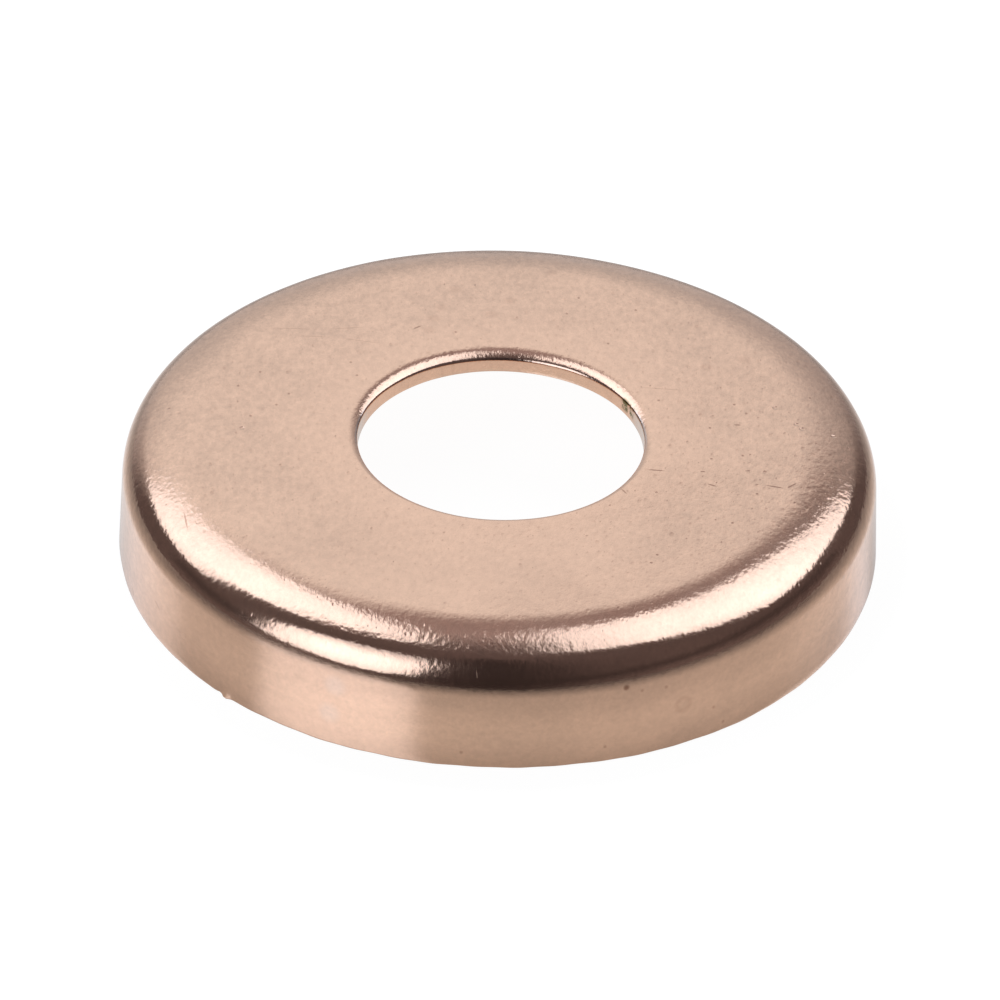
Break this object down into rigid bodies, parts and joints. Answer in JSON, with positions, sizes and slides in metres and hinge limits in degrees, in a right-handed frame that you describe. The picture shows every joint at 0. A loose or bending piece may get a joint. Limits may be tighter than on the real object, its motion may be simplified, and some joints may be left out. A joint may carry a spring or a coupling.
{
  "type": "nut cover",
  "caption": "Shallow round cup pressed from copper-plated sheet with a punched centre hole, slipped over a threaded tube to hide its nut.",
  "frame": {"origin": "centre of the rim that the cover stands on, on the hole's axis", "axes": "+Z along the hole's axis, from the rim up through the crown; X and Y lie in the rim's plane and are interchangeable"},
  "size_m": [0.028, 0.028, 0.0045],
  "materials": {
    "copper_plate": "gloss"
  },
  "bodies": {
    "root": {"nut_cover": "copper_plate"}
  },
  "joints": []
}
